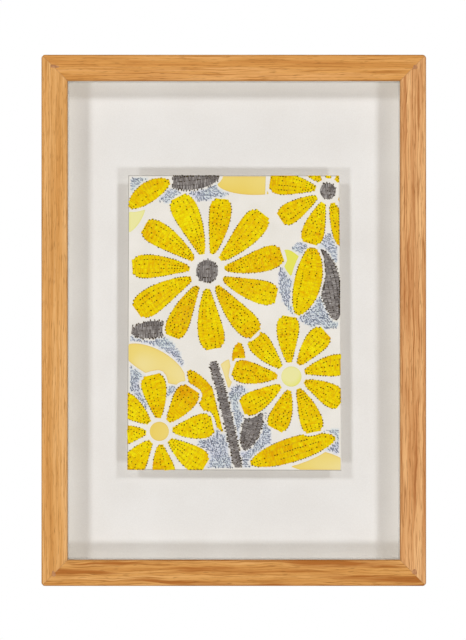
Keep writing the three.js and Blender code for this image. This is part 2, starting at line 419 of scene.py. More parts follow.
# The cut face of the moulding as (inwards from the corner, depth), with its arrises taken off.
inner = sight - GLUE_SUNK
cut_face = [
    (EASED, -EASED), (EASED, front_y + EASED), (2 * EASED, front_y + GLUE_SUNK),
    (inner - EASED, front_y + GLUE_SUNK), (inner, front_y + EASED), (inner, lip_back_y - GLUE_SUNK),
    (rebate - GLUE_SUNK, lip_back_y - GLUE_SUNK), (rebate - GLUE_SUNK, -GLUE_SUNK), (2 * EASED, -GLUE_SUNK),
]
half_gap = (PIECE_GAP / 2 - GLUE_PLAY) / math.sqrt(2)
for level, level_name in ((1, "top"), (-1, "bottom")):
    for side, side_name in ((-1, "left"), (1, "right")):
        reach = side * level * half_gap
        outlines = [
            [(side * (half_width - inward + shift), depth, level * (half_height - inward - shift))
             for inward, depth in cut_face]
            for shift in (reach, -reach)
        ]
        mesh_piece(f"glue_line_{level_name}_{side_name}", *prism(*outlines), glue, "oak", smooth=False)

# %% [markdown]
# ## Filler in the mitres
# A small mauve brown spot lies in the middle of each mitre. It is taken for a nail hole that was closed
# with filler, which took the oil in another way than the oak. Each is a low plug with an uneven outline,
# since a knife pressed it in.

# %% Fill the nail holes
FILLER_SIDES = 16
FILLER_PROUD = 0.04 * MM
FILLER_DEEP = 0.3 * MM
FILLER_UNEVEN = (0.16, 0.1)
FILLER_GRAIN = 1.43
# Each spot's corner, place inwards from the two outer edges, and half sizes, in millimetres.
FILLERS = {
    "top_left": (-1, 1, 9.2, 8.3, 3.0, 1.2),
    "top_right": (1, 1, 7.8, 8.8, 1.4, 1.8),
    "bottom_left": (-1, -1, 8.7, 8.6, 1.2, 2.3),
    "bottom_right": (1, -1, 8.2, 10.0, 1.6, 2.2),
}


def filler_material():
    material, tree, shader, here = new_material("wood_filler_sanded")
    grains = add(tree, "ShaderNodeTexNoise", {"Vector": here, "Scale": 1 / (FILLER_GRAIN * MM)})
    colour = add(tree, "ShaderNodeValToRGB", {"Fac": grains}, [(0.35, "#ac7447"), (0.65, "#c68e5e")])
    surface(tree, shader, colour, roughness=0.8, specular=0.5, height=grains, strength=0.3, depth=0.05)
    return material


filler = filler_material()
turn = np.arange(FILLER_SIDES) * 2 * math.pi / FILLER_SIDES
for name, (side, level, inward_x, inward_z, half_x, half_z) in FILLERS.items():
    waves = np.stack([np.sin(2 * turn + inward_x), np.sin(3 * turn + inward_z)])
    uneven = 1 + np.dot(FILLER_UNEVEN, waves)
    x = side * (half_width - inward_x * MM) + half_x * MM * uneven * np.cos(turn)
    z = level * (half_height - inward_z * MM) + half_z * MM * uneven * np.sin(turn)
    rings = [np.stack([x, np.full(FILLER_SIDES, y), z], axis=-1)
             for y in (front_y - FILLER_PROUD, front_y + FILLER_DEEP)]
    mesh_piece(f"filler_{name}", *prism(*rings), filler, "oak", smooth=False)

# %% [markdown]
# ## The white pieces and the back
# The spacers are thin strips of wood, brushed with matt white paint. The mount board is cotton board with
# a fine tooth. The block behind the sheet is foam board. The back is plain fibreboard, whose pressed
# fibres show as a fine speckle. None of them is one flat colour: each gets a speckle and a matching
# relief.

# %% Finish the spacers and boards
BOARD_CLOUD = 40.0
CLOUDED_RANGE = (0.7, 1.3)
MATT_SPECULAR = 0.2


def clouded(tree, fine, broad, dark, light):
    """A colour that fine spots and broad ones carry between a dark and a light tone together."""
    both = add(tree, "ShaderNodeMath", {0: fine, 1: broad}, operation="ADD")
    tone = add(tree, "ShaderNodeMapRange", {
        "Value": both, "From Min": CLOUDED_RANGE[0], "From Max": CLOUDED_RANGE[1],
    })
    return add(tree, "ShaderNodeValToRGB", {"Fac": tone}, [(0.0, dark), (1.0, light)])


def speckled(name, light, dark, grain, roughness, relief):
    """A matt material whose colour and relief vary over spots of about grain millimetres."""
    material, tree, shader, here = new_material(name)
    fine = add(tree, "ShaderNodeTexNoise", {"Vector": here, "Scale": 1 / (grain * MM), "Detail": 3.0})
    broad = add(tree, "ShaderNodeTexNoise", {"Vector": here, "Scale": 1 / (BOARD_CLOUD * MM)})
    colour = clouded(tree, fine, broad, dark, light)
    surface(tree, shader, colour, roughness, MATT_SPECULAR, height=fine, strength=relief, depth=0.1)
    return material


# For each finish: its light and dark tones, grain in millimetres, roughness and relief, then its pieces.
# The grain of paint and board is finer than a pixel, so it is drawn about as coarse as one.
FINISHES = {
    "matt_white_paint_brushed": (("#f4f0e7", "#ece7dc", 1.2, 0.75, 0.3), (
        "spacer_top", "spacer_bottom", "spacer_left", "spacer_right",
    )),
    "cotton_board_smooth": (("#eae8e3", "#e3e0da", 0.6, 0.9, 0.25), ("mount_board",)),
    "foam_board_white": (("#f4f3f0", "#eae8e4", 0.8, 0.85, 0.2), ("riser_block",)),
    "fibreboard_pressed": (("#b59470", "#977450", 0.9, 0.8, 0.4), ("back_board",)),
}
for finish_name, (values, node_names) in FINISHES.items():
    finish = speckled(finish_name, *values)
    for node_name in node_names:
        clad(node_name, finish)
print("finishes:", ", ".join(FINISHES))

# %% [markdown]
# ## The pattern
# The pattern is an ordinary one of daisies and leaves. Every petal and leaf is a blade: a bent middle
# line with a width that grows and shrinks along it. The tables say where each flower and leaf lies, in
# millimetres about the frame's centre. They are the same as in the solids, so that each stitched field
# lies on its raised place. A field keeps a margin of bare paper from those before it in the list. The
# painted leaves come last, and are no more than colour on the paper.

# %% Lay out the flowers and leaves
BLADE_STEPS = 12
FIELD_MARGIN = 2.6
ROUND_FULLNESS = 0.5
PETAL_TAPER = 0.3
PETAL_FULLNESS = 0.3
PETAL_WIDEST = 0.7
PETAL_SIDE_GAP = 1.1
# How unequal the petals are in length and in width: how much, and how fast it changes round the flower.
LENGTH_UNEVEN = (0.06, 2.4)
WIDTH_UNEVEN = (0.05, 3.7)
HEART_SHARE = {"grey": 0.62, "lime": 0.72, "ochre": 0.72}

# x, z, petals, inner and outer radius, turn in degrees, swirl, colour of the heart
FLOWERS = (
    (-19, 35, 11, 12.5, 55, 8, 0.25, "grey"),
    (41, -40, 9, 10, 41, 18, -0.25, "lime"),
    (-53, -79, 8, 9.5, 39, 4, 0.2, "ochre"),
    (67, 92, 9, 9, 40, 8, 0.15, "grey"),
)
# x, z, turn, length, half width, bend, fullness, colour
LEAVES = (
    (3, -105, 100, 78, 3, 0.12, 0.12, "grey"),
    (-5, -80, 116, 52, 7, 0.2, 0.6, "yellow"),
    (12, -102, 20, 63, 8.5, -0.1, 0.6, "yellow"),
    (7, -92, 66, 36, 6.5, 0.3, 0.6, "grey"),
    (45, 4, 66, 50, 9.5, 0.4, 0.6, "yellow"),
    (73, 0, 98, 52, 7.5, 0.15, 0.6, "grey"),
    (-74, 80, 48, 34, 7, -0.5, 0.6, "yellow"),
    (-47, 98, 4, 37, 6.5, 0.1, 0.6, "grey"),
    (-73, -9, 14, 29, 6, -0.3, 0.6, "grey"),
    (4, -16, -100, 22, 4.5, 0.5, 0.6, "yellow"),
)
# x, z, turn, length, half width, bend, fullness, colour: leaves that are painted and not stitched
PAINTED = (
    (-79, -20, -20, 50, 9.5, -0.3, 0.5, "ochre"),
    (-12, 98, 2, 52, 9, -0.1, 0.5, "ochre"),
    (-17, -62, 72, 38, 7.5, -0.3, 0.5, "ochre"),
    (80, -103, 174, 50, 8, -0.1, 0.5, "ochre"),
    (36, 50, -62, 34, 7, 0.5, 0.5, "lime"),
    (-79, 62, 70, 30, 8, -0.3, 0.5, "lime"),
)
# x, z and the two half sizes of each patch of fine blue stitches
HATCHED = (
    (66, 28, 34, 34),
    (-76, -34, 40, 30),
    (0, -86, 26, 40),
    (72, -96, 36, 18),
    (-40, 98, 46, 14),
)


def blade(x, z, turn, length, half, bend, fullness, colour, taper=1.0):
    """One petal or leaf: its base, turn in degrees, length, half width, bend in radians and colour."""
    return dict(x=x, z=z, turn=math.radians(turn), length=length, half=half, bend=bend,
                fullness=fullness, colour=colour, taper=taper)


def blade_point(shape, s, t, grow=0.0):
    """The place at share s along a blade and share t of its half width to the left, in millimetres."""
    reach = shape["length"] + 2 * grow
    chord = shape["turn"] + shape["bend"] * s / 2
    heading = shape["turn"] + shape["bend"] * s
    widening = shape["taper"] + (1 - shape["taper"]) * s
    width = (shape["half"] + grow) * widening * (4 * s * (1 - s)) ** shape["fullness"]
    x = shape["x"] - grow * math.cos(shape["turn"]) + reach * s * np.cos(chord) - t * width * np.sin(heading)
    z = shape["z"] - grow * math.sin(shape["turn"]) + reach * s * np.sin(chord) + t * width * np.cos(heading)
    return np.stack([x, z], axis=-1)


def eased_steps(count):
    """Shares from 0 to 1 in count steps, closer together at both ends."""
    return 0.5 - 0.5 * np.cos(np.pi * np.arange(count + 1) / count)


def blade_outline(shape, grow=0.0):
    """The closed outline of a blade, which may be grown by a margin."""
    s = eased_steps(BLADE_STEPS)
    right = blade_point(shape, s, -1.0, grow)
    left = blade_point(shape, s, 1.0, grow)
    return np.concatenate([right[:-1], left[:0:-1]])


def flower(x, z, petals, inner, outer, turn, swirl, heart):
    """The blades of a flower: its petals, then its round heart."""
    blades = []
    for k in range(petals):
        toward = turn + 360 * k / petals
        length = (outer - inner) * (1 + LENGTH_UNEVEN[0] * math.sin(LENGTH_UNEVEN[1] * k + x))
        room_here = (inner + PETAL_WIDEST * length) * math.tan(math.pi / petals)
        half = (room_here - PETAL_SIDE_GAP) * (1 + WIDTH_UNEVEN[0] * math.sin(WIDTH_UNEVEN[1] * k + z))
        start_x = x + inner * math.cos(math.radians(toward))
        start_z = z + inner * math.sin(math.radians(toward))
        blades.append(blade(start_x, start_z, toward, length, half, swirl, PETAL_FULLNESS, "yellow",
                            PETAL_TAPER))
    radius = inner * HEART_SHARE[heart]
    blades.append(blade(x - radius, z, 0, 2 * radius, radius, 0.0, ROUND_FULLNESS, heart))
    return blades


groups = [flower(*row) for row in FLOWERS] + [[blade(*row)] for row in LEAVES + PAINTED]
print("fields:", sum(len(group) for group in groups))

# %% [markdown]
# ## Where a needle may go
# A stitch has to stay in its own field, on the paper, and off the fields in front of it. Two tests do
# that: whether points lie inside an outline, and how much of a straight stitch is free.

# %% Test points against the outlines
PAPER_EDGE_MARGIN = 0.5
SAME_FACE = 0.01 * MM

sheet_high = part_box("embroidered_sheet")[1]
sheet_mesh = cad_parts["embroidered_sheet"].data
rear = [(v.co.x, v.co.z) for v in sheet_mesh.vertices if v.co.y > sheet_high.y - SAME_FACE]
corners = np.array([
    max(rear, key=lambda p: side * p[0] + level * p[1])
    for side, level in ((-1, -1), (1, -1), (1, 1), (-1, 1))
]) / MM


def inside(points, outline):
    """For each point, whether it lies inside a closed outline."""
    x, z = points[..., 0], points[..., 1]
    result = np.zeros(x.shape, bool)
    for (x0, z0), (x1, z1) in zip(outline, np.roll(outline, -1, axis=0)):
        if z0 != z1:
            crosses = (z0 > z) != (z1 > z)
            result ^= crosses & (x < (x1 - x0) * (z - z0) / (z1 - z0) + x0)
    return result


def on_sheet(points, edge):
    """Whether points lie on the sheet, at least edge away from its sides."""
    middle = corners.mean(axis=0)
    half = np.abs(corners - middle).min(axis=0)
    return inside(points, middle + (corners - middle) * (1 - edge / half))


def in_fields(points, fields, grow):
    """Whether points lie in any blade of some groups, each grown by a margin."""
    result = np.zeros(points.shape[:-1], bool)
    for group in fields:
        for shape in group:
            result |= inside(points, blade_outline(shape, grow))
    return result


def longest_free(starts, ends, index, steps):
    """Cuts straight lines of one group back to their longest stretch clear of the groups before it."""
    shares = np.linspace(0, 1, steps)
    samples = starts[:, None] + (ends - starts)[:, None] * shares[None, :, None]
    allowed = on_sheet(samples, PAPER_EDGE_MARGIN) & ~in_fields(samples, groups[:index], FIELD_MARGIN)
    first = np.zeros(len(starts), int)
    last = np.full(len(starts), steps - 1)
    for i in np.flatnonzero(~allowed.all(axis=1)):
        run, best = 0, (0, 0)
        for k, good in enumerate(allowed[i]):
            run = run + 1 if good else 0
            if run > best[1] - best[0]:
                best = (k - run + 1, k + 1)
        first[i], last[i] = best[0], max(best[1] - 1, best[0])
    rows = np.arange(len(starts))
    return samples[rows, first], samples[rows, last]


print("sheet corners:", corners.round(1).tolist())

# %% [markdown]
# ## The sheet of paper
# The sheet is heavy cotton paper, cut by hand a little out of square. Thread pulls on paper, so it never
# lies quite flat, and it swells softly between the stitches. A grid of points carries that swell, and the
# stitches later ask the same function where the paper lies. Under the fine blue stitches the paper is
# rubbed with a little blue pencil. Along three of its cut edges lies a thin grey line of painted shade,
# and values at each point carry both. The grid has one narrow row along each edge to hold that line.

# %% Cut the paper
CELL = 2.0
PAPER_THICKNESS = 0.6
SHEET_SOLID_THICKNESS = 1.0 * MM
PENCIL_EDGE = 1.4
SHADED_EDGE_ROW = 0.8
SWELL = 0.16 * MM
SWELL_LENGTHS = (0.071, 0.046)
SWELL_PHASES = (1.3, 0.4)
SWELL_SECOND = 0.6
TOOTH = 0.7
PAPER_CLOUD = 16.7
PENCIL_PATCH = 13.0

paper_y = sheet_high.y - SHEET_SOLID_THICKNESS


def swell(x, z):
    """How far the paper stands forward of its flat face at a place, in metres."""
    turn_x, turn_z = (2 * math.pi / length for length in SWELL_LENGTHS)
    waves = np.sin(turn_x * x + SWELL_PHASES[0]) * np.cos(turn_z * z)
    waves = waves + SWELL_SECOND * np.sin(turn_x * (x + z) + SWELL_PHASES[1])
    return SWELL * (0.5 + 0.5 * waves / (1 + SWELL_SECOND))


def on_paper(plan, height):
    """Points in metres that stand height above the paper's face, from places and heights in millimetres."""
    x, z = plan[..., 0] * MM, plan[..., 1] * MM
    return np.stack([x, paper_y - swell(x, z) - np.asarray(height) * MM, z], axis=-1)


def slab(plan, front_height, back_height):
    """A closed sheet over a grid of places in millimetres, which has rows, columns and x and z."""
    count = plan.shape[0] * plan.shape[1]
    index = np.arange(count).reshape(plan.shape[:2])
    plan = plan.reshape(-1, 2)
    cells = np.stack([index[:-1, :-1], index[:-1, 1:], index[1:, 1:], index[1:, :-1]], -1).reshape(-1, 4)
    rim = np.concatenate([index[0, :], index[1:, -1], index[-1, -2::-1], index[-2:0:-1, 0]])
    after = np.roll(rim, -1)
    edge = np.stack([rim, rim + count, after + count, after], -1)
    faces = cells.tolist() + (cells[:, ::-1] + count).tolist() + edge.tolist()
    return np.concatenate([on_paper(plan, front_height), on_paper(plan, back_height)]), faces


def cut_shares(length):
    """Shares from 0 to 1 along one side, evenly but for a narrow row at each end."""
    inner = np.linspace(SHADED_EDGE_ROW / length, 1 - SHADED_EDGE_ROW / length, round(length / CELL))
    return np.concatenate([[0.0], inner, [1.0]])


def hatched(points, edge):
    """Whether places are in a hatched patch, on bare paper, at least edge from all else."""
    result = np.zeros(len(points), bool)
    for x, z, reach_x, reach_z in HATCHED:
        result |= ((points[:, 0] - x) / reach_x) ** 2 + ((points[:, 1] - z) / reach_z) ** 2 < 1
    return result & on_sheet(points, edge) & ~in_fields(points, groups, edge)


def paper_material():
    material, tree, shader, here = new_material("cotton_paper_cold_pressed")
    tooth = add(tree, "ShaderNodeTexNoise", {"Vector": here, "Scale": 1 / (TOOTH * MM), "Detail": 3.0})
    cloud = add(tree, "ShaderNodeTexNoise", {"Vector": here, "Scale": 1 / (PAPER_CLOUD * MM)})
    white = clouded(tree, tooth, cloud, "#e6e2d7", "#f0ece3")
    patch = add(tree, "ShaderNodeTexNoise", {"Vector": here, "Scale": 1 / (PENCIL_PATCH * MM)})
    pencils = [(0.35, "#b9c3e3"), (0.5, "#bccde1"), (0.65, "#b9d3da")]
    blue = add(tree, "ShaderNodeValToRGB", {"Fac": patch}, pencils)
    pencil = add(tree, "ShaderNodeAttribute", attribute_name="pencil")
    rubbed = add(tree, "ShaderNodeMath", {0: pencil.outputs["Fac"], 1: tooth}, operation="MULTIPLY")
    drawn = add(tree, "ShaderNodeMix", {0: rubbed, 6: white, 7: blue}, data_type="RGBA")
    # Painted shade: a grey line along three cut edges of the sheet.
    greyed = add(tree, "ShaderNodeAttribute", attribute_name="greyed")
    colour = add(tree, "ShaderNodeMix", {
        0: greyed.outputs["Fac"], 6: drawn.outputs[2], 7: linear("#a39f96"),
    }, data_type="RGBA").outputs[2]
    surface(tree, shader, colour, 0.9, MATT_SPECULAR, height=tooth, strength=0.4, depth=0.08)
    return material


paper_width = np.linalg.norm(corners[1] - corners[0])
paper_height = np.linalg.norm(corners[2] - corners[1])
u, v = np.meshgrid(cut_shares(paper_width), cut_shares(paper_height))
low = corners[0] * (1 - u[..., None]) + corners[1] * u[..., None]
high = corners[3] * (1 - u[..., None]) + corners[2] * u[..., None]
plan = low * (1 - v[..., None]) + high * v[..., None]
points, faces = slab(plan, 0.0, -PAPER_THICKNESS)
# The top, bottom and left cut edges get the line of painted shade.
greyed = ((u == 0) | (v == 0) | (v == 1)).ravel()
rubbed = hatched(plan.reshape(-1, 2), PENCIL_EDGE)
paper = mesh_piece("paper_sheet", points, faces, paper_material(), "stitched_paper",
                   pencil=np.tile(rubbed, 2), greyed=np.tile(greyed, 2))
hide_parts("embroidered_sheet")
print("paper:", round(paper_width, 1), "x", round(paper_height, 1), "mm")

# %% [markdown]
# ## Painted leaves and hearts
# Between the stitched fields lie shapes of thin watercolour, which dries darker at its rim, where the
# pigment gathers. A film of paint needs no relief, so each shape is a thin sheet just off the paper, with
# a value that says how near its edge is. The lime paint was laid twice and shows two tones.

# %% Paint the leaves and hearts
PAINT_HEIGHT = 0.03
PAINT_STEP = 0.4
PAINT_CLIP_STEPS = 160
PAINT_ROWS = 12
PAINT_JUMP = 3.0
FEWEST_LINES = 3
SHORTEST = 0.6
RIM_WIDTH = 0.5


def paint_material(name, stops, rim_colour, pool):
    material, tree, shader, here = new_material(name)
    tooth = add(tree, "ShaderNodeTexNoise", {"Vector": here, "Scale": 1 / (TOOTH * MM), "Detail": 3.0})
    pools = add(tree, "ShaderNodeTexNoise", {
        "Vector": here, "Scale": 1 / (pool * MM), "Detail": 1.0, "Distortion": 0.3,
    })
    wash = add(tree, "ShaderNodeValToRGB", {"Fac": pools}, stops)
    rim = add(tree, "ShaderNodeAttribute", attribute_name="rim")
    grained = add(tree, "ShaderNodeMath", {0: rim.outputs["Fac"], 1: tooth}, operation="MULTIPLY")
    colour = add(tree, "ShaderNodeMix", {0: grained, 6: wash, 7: linear(rim_colour)},
                 data_type="RGBA").outputs[2]
    surface(tree, shader, colour, 0.8, specular=0.25, height=tooth, strength=0.3, depth=0.06)
    return material


def lengths(runs):
    """The length of each vector of a row."""
    return np.linalg.norm(runs, axis=1)


def painted_shape(shape, index):
    """The films of one painted blade where no field is in front of it, with each point's nearness to a rim.

    Lines across the blade are cut to what is free. Neighbours that end close together share a film."""
    lines = round(shape["length"] / PAINT_STEP)
    s = eased_steps(lines)[1:-1]
    starts, ends = longest_free(blade_point(shape, s, -1.0), blade_point(shape, s, 1.0), index,
                                PAINT_CLIP_STEPS)
    wide = lengths(ends - starts)
    step = np.maximum(lengths(np.diff(starts, axis=0)), lengths(np.diff(ends, axis=0)))
    breaks = np.flatnonzero((step > PAINT_JUMP) | (wide[1:] < SHORTEST) | (wide[:-1] < SHORTEST)) + 1
    across = eased_steps(PAINT_ROWS)
    films = []
    for run in np.split(np.arange(lines - 1), breaks):
        if len(run) >= FEWEST_LINES:
            plan = starts[run] + (ends - starts)[run] * across[:, None, None]
            points, faces = slab(plan, PAINT_HEIGHT, -PAINT_HEIGHT)
            near = np.minimum(across, 1 - across)[:, None] * wide[run]
            films.append((points, faces, np.tile(np.exp(-near / RIM_WIDTH).ravel(), 2)))
    return films


def joined(parts):
    """Several rows of points, faces and any values of the points as one row."""
    faces, count = [], 0
    for points, part_faces, *_ in parts:
        faces += [[i + count for i in face] for face in part_faces]
        count += len(points)
    points, _, *values = zip(*parts)
    return np.concatenate(points), faces, *(np.concatenate(value) for value in values)


# For each paint: its tones, the darker tone of its rim, and the size of its pools in millimetres.
PAINTS = {
    "ochre": ([(0.35, "#eccf60"), (0.5, "#eed778"), (0.62, "#f1e2a0")], "#dfb44e", 60.0),
    "lime": ([(0.47, "#e6e45c"), (0.53, "#ece8a2")], "#dfdc50", 34.0),
}
for paint, look in PAINTS.items():
    films = []
    for index, group in enumerate(groups):
        for shape in group:
            if shape["colour"] == paint:
                films += painted_shape(shape, index)
    points, faces, rims = joined(films)
    finish = paint_material(f"watercolour_{paint}", *look)
    mesh_piece(f"painted_{paint}", points, faces, finish, "stitched_paper", rim=rims)

# %% [markdown]
# ## Filling a field with stitches
# A field is filled in rows that cross the blade. A row is broken into stitches of three to four
# millimetres, from needle hole to needle hole, and the next row lies beside it. In most petals the breaks
# stand in line, so that the holes make dotted lines along the petal, and in the rest they are staggered
# as bricks are. On the real sheet the holes are 1.1 to 2.5 mm apart. The grey stitches are coarser and
# wilder: they lean more, and their ends stand out past the outline like a comb.

# %% Plan the stitches of every field
CLIP_STEPS = 24
STAGGERED_SHARE = 0.35
STAGGER = (0.5, 0.08)
BREAK_UNEVEN = 0.14
FILLED_WIDTH = 1.6
TIP = 0.004
ROW_SLIP = 0.06
NARROWEST = 1.0
DRAW_SEED = 11
MOST_PETALS = 9
# In millimetres: the distance between rows, the length of a stitch, how far a row leans and how
# unevenly, how far it reaches past the outline and how unevenly. Then the strands of a stitch, with the
# radius of one, how high it rises, and how far it goes on past the middle of its hole.
HANDS = {
    "yellow": {"pitch": 1.9, "lane": 3.6, "lean": 0.5, "uneven": 0.2, "reach": 0.0, "ends": 0.12,
               "strands": 4, "radius": 0.32, "rise": 0.15, "past": 0.25},
    "grey": {"pitch": 0.95, "lane": 2.4, "lean": 1.0, "uneven": 1.2, "reach": 0.3, "ends": 0.5,
             "strands": 1, "radius": 0.37, "rise": 0.24, "past": 0.0},
}

random = np.random.default_rng(DRAW_SEED)


def field_stitches(shape, index):
    """The two ends of each stitch of one blade, in millimetres."""
    hand = HANDS[shape["colour"]]
    rows = round(shape["length"] / hand["pitch"])
    lanes = max(1, round(FILLED_WIDTH * shape["half"] / hand["lane"]))
    stagger = STAGGER[0] if random.uniform() < STAGGERED_SHARE else STAGGER[1]
    starts, ends = [], []
    for row in range(rows):
        s = (row + 0.5 + random.uniform(-ROW_SLIP, ROW_SLIP)) / rows
        sides = blade_point(shape, np.array([s, s]), np.array([-1.0, 1.0]))
        half = max(np.linalg.norm(sides[1] - sides[0]) / 2, NARROWEST)
        breaks = np.linspace(-1, 1, lanes + 1)
        slip = random.uniform(-BREAK_UNEVEN, BREAK_UNEVEN, lanes - 1)
        breaks[1:-1] += (stagger * (row % 2 - 0.5) + slip) / lanes
        breaks[[0, -1]] *= 1 + (hand["reach"] + random.uniform(-1, 1, 2) * hand["ends"]) / half
        lean = (hand["lean"] + random.uniform(-1, 1) * hand["uneven"]) / shape["length"]
        places = np.clip(s + lean * breaks / 2, TIP, 1 - TIP)
        holes = blade_point(shape, places, breaks)
        starts.append(holes[:-1])
        ends.append(holes[1:])
    starts, ends = longest_free(np.concatenate(starts), np.concatenate(ends), index, CLIP_STEPS)
    long_enough = lengths(ends - starts) > SHORTEST
    return starts[long_enough], ends[long_enough]


def piece_of(index, number, colour):
    """Which piece the stitches of a group's blade belong to, so that no mesh grows too large."""
    if index < len(FLOWERS) and colour == "yellow":
        return f"petals_{index + 1}" if number < MOST_PETALS else f"petals_{index + 1}_last"
    return f"leaves_{colour}"


fields = {}
for index, group in enumerate(groups):
    for number, shape in enumerate(group):
        if shape["colour"] in HANDS:
            stitches = field_stitches(shape, index)
            name = piece_of(index, number, shape["colour"])
            fields.setdefault(name, []).append((shape["colour"], *stitches))
for name, parts in fields.items():
    print(name, sum(len(starts) for _, starts, _ in parts), "stitches")

# %% [markdown]
# ## A strand of thread
# A stitch of stranded cotton is flat strands that leave one hole side by side, swell and rise in the
# middle, and draw together at the next hole. Each is a closed tube with five rings of five points, made
# for all stitches at once with arrays. Two values travel with the points: a tone for each strand, since
# no two take the dye and the light alike, and the turn of the ply, which the material draws as a fine
# twist.

# %% Make strands from stitches
RINGS = np.array([0.0, 0.2, 0.5, 0.8, 1.0])
SECTION = np.radians([205, 150, 90, 30, -25])
END_SHARE = 0.85
FLATTENED = 0.75
# The ply of stranded cotton turns once a millimetre or so. It is drawn a little longer, so that it shows.
TWIST_PITCH = 1.4
# The size of the patches of painted sheen along the thread, in millimetres.
SHEEN_PATCH_LENGTH = 2.0
THREAD_RANGE = (1.0, 2.0)


def strands(starts, ends, offset, radius, rise, tone, apart=0.0):
    """Points, faces, tones and twists of closed strands. Sizes are in millimetres, one for each strand.

    Each is shifted sideways by its offset in the middle, and by a share of it, apart, at its ends."""
    run = ends - starts
    length = lengths(run)
    along = run / length[:, None]
    side = np.stack([-along[:, 1], along[:, 0]], axis=-1)
    swelling = np.sin(np.pi * RINGS) ** 0.5
    middle = starts[:, None] + run[:, None] * RINGS[None, :, None]
    shifted = offset[:, None] * (apart + (1 - apart) * swelling)
    middle = middle + side[:, None] * shifted[..., None]
    thick = radius[:, None] * (END_SHARE + (1 - END_SHARE) * swelling)
    plan = middle[:, :, None] + side[:, None, None] * (thick[:, :, None] * np.cos(SECTION))[..., None]
    height = (rise[:, None] * swelling)[:, :, None] + FLATTENED * thick[:, :, None] * np.sin(SECTION)
    points = on_paper(plan, height).reshape(-1, 3)
    per_ring, per_strand = len(SECTION), len(SECTION) * len(RINGS)
    base = (np.arange(len(starts)) * per_strand)[:, None, None]
    corner = np.arange(per_ring)
    following = np.roll(corner, -1)
    quad = np.stack([corner, corner + per_ring, following + per_ring, following], axis=-1)
    walls = (np.arange(len(RINGS) - 1) * per_ring)[:, None, None] + quad
    quads = (base[:, :, None] + walls[None]).reshape(-1, 4).tolist()
    first = (base[:, :, 0] + corner).tolist()
    last = (base[:, :, 0] + per_strand - per_ring + corner[::-1]).tolist()
    turn = (length[:, None] * RINGS / TWIST_PITCH)[:, :, None] + SECTION / (2 * np.pi)
    return points, quads + first + last, np.repeat(tone, per_strand), turn.ravel()


def thread_material(name, zone, fuzz, *stops):
    """Soft threads with a fine twist, whose tones drift over zones, differ by strand, and carry painted
    sheen.
    """
    material, tree, shader, here = new_material(name)
    zones = add(tree, "ShaderNodeTexNoise", {"Vector": here, "Scale": 1 / (zone * MM)})
    # Painted sheen: patches where the thread looks lighter or darker as it lies in the light.
    sheen_patches = add(tree, "ShaderNodeTexNoise", {"Vector": here, "Scale": 1 / (SHEEN_PATCH_LENGTH * MM), "Detail": 1.0})
    strand = add(tree, "ShaderNodeAttribute", attribute_name="tone")
    dyed = add(tree, "ShaderNodeMath", {0: zones, 1: strand.outputs["Fac"]}, operation="ADD")
    dyed_and_sheened = add(tree, "ShaderNodeMath", {0: dyed, 1: sheen_patches}, operation="ADD")
    tone = add(tree, "ShaderNodeMapRange", {
        "Value": dyed_and_sheened, "From Min": THREAD_RANGE[0], "From Max": THREAD_RANGE[1],
    })
    colour = add(tree, "ShaderNodeValToRGB", {"Fac": tone}, stops)
    twist = add(tree, "ShaderNodeAttribute", attribute_name="twist")
    turned = add(tree, "ShaderNodeMath", {0: twist.outputs["Fac"], 1: 2 * math.pi}, operation="MULTIPLY")
    ply = add(tree, "ShaderNodeMath", {0: turned}, operation="SINE")
    surface(tree, shader, colour, 0.62, specular=0.06, height=ply, strength=0.5, depth=0.05)
    put(tree, shader, {"Sheen Weight": fuzz, "Sheen Roughness": 0.4})
    return material


# For each thread: the size of its zones in millimetres, its sheen, and its tones.
THREADS = {
    "yellow": thread_material("stranded_cotton_yellow", 24.0, 0.0, (0.0, "#e4a600"), (0.3, "#ebc000"),
                              (0.6, "#f0d502"), (1.0, "#f8ec10")),
    "grey": thread_material("stranded_cotton_grey", 5.0, 0.1, (0.0, "#6b6460"), (0.5, "#968f8a"),
                            (1.0, "#beb9b4")),
    "blue": thread_material("sewing_cotton_blue", 14.0, 0.1, (0.0, "#5f6577"), (0.5, "#9098a8"),
                            (1.0, "#b9c2cf")),
}
print("threads:", ", ".join(THREADS))

# %% [markdown]
# ## The ground under the thread
# Between the strands a little of the thread beneath shows. A thin layer of it fills each field, in a colour
# darker than its thread: painted shade between the strands.
# The solids hold the exact outline of every field, so the layer is made from their raised faces, set
# back to just off the paper and closed into a slab. The first flower or leaf of the list that a face
# lies in says its colour.

# %% Lay the ground of each field
GROUND_HEIGHT = 0.20
RAISED = 0.3 * MM
THREAD_SPECK = 0.714


def ground_parts():
    """For each colour, the raised faces of the solid sheet as triangles of places in millimetres."""
    sheet_mesh.calc_loop_triangles()
    parts = {"yellow": [], "grey": []}
    triangles = []
    for triangle in sheet_mesh.loop_triangles:
        ends = [sheet_mesh.vertices[i].co for i in triangle.vertices]
        if max(p.y for p in ends) < paper_y - RAISED:
            triangles.append([(p.x / MM, p.z / MM) for p in ends])
    triangles = np.array(triangles)
    owner = np.full(len(triangles), -1)
    for index, group in enumerate(groups):
        for shape in group:
            found = (owner < 0) & inside(triangles.mean(axis=1), blade_outline(shape))
            owner[found] = index
            if shape["colour"] in parts and found.any():
                parts[shape["colour"]].append(triangles[found])
    print("raised triangles:", len(triangles), "left over:", int((owner < 0).sum()))
    return {colour: np.concatenate(found) for colour, found in parts.items()}


